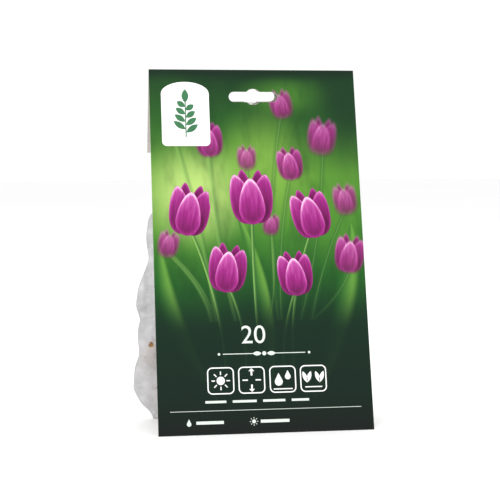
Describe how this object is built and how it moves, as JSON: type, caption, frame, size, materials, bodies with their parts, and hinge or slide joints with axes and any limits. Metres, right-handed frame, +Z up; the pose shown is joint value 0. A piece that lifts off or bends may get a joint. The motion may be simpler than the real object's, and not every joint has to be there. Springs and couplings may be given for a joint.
{
  "type": "flower bulb packet",
  "caption": "Retail packet of flower bulbs: a folded printed card with a hang slot, and behind it a perforated film bag filled with small brown bulbs. It stands leaning back.",
  "frame": {"origin": "on the floor, under the middle of the packet's box", "axes": "+Z up, +Y from the card's printed front to the bag behind it, +X to the right of someone facing the front"},
  "size_m": [0.1502, 0.0886, 0.2257],
  "materials": {
    "printed_board": "satin",
    "adhesive": "satin",
    "film": "satin",
    "bulb_skin": "matte"
  },
  "bodies": {
    "root": {"card": "printed_board", "adhesive_strip": "adhesive", "bag": "film", "bulb_01": "bulb_skin", "bulb_02": "bulb_skin", "bulb_03": "bulb_skin", "bulb_04": "bulb_skin", "bulb_05": "bulb_skin", "bulb_06": "bulb_skin", "bulb_07": "bulb_skin", "bulb_08": "bulb_skin", "bulb_09": "bulb_skin", "bulb_10": "bulb_skin", "bulb_11": "bulb_skin", "bulb_12": "bulb_skin", "bulb_13": "bulb_skin", "bulb_14": "bulb_skin", "bulb_15": "bulb_skin", "bulb_16": "bulb_skin", "bulb_17": "bulb_skin", "bulb_18": "bulb_skin", "bulb_19": "bulb_skin", "bulb_20": "bulb_skin"}
  },
  "joints": []
}
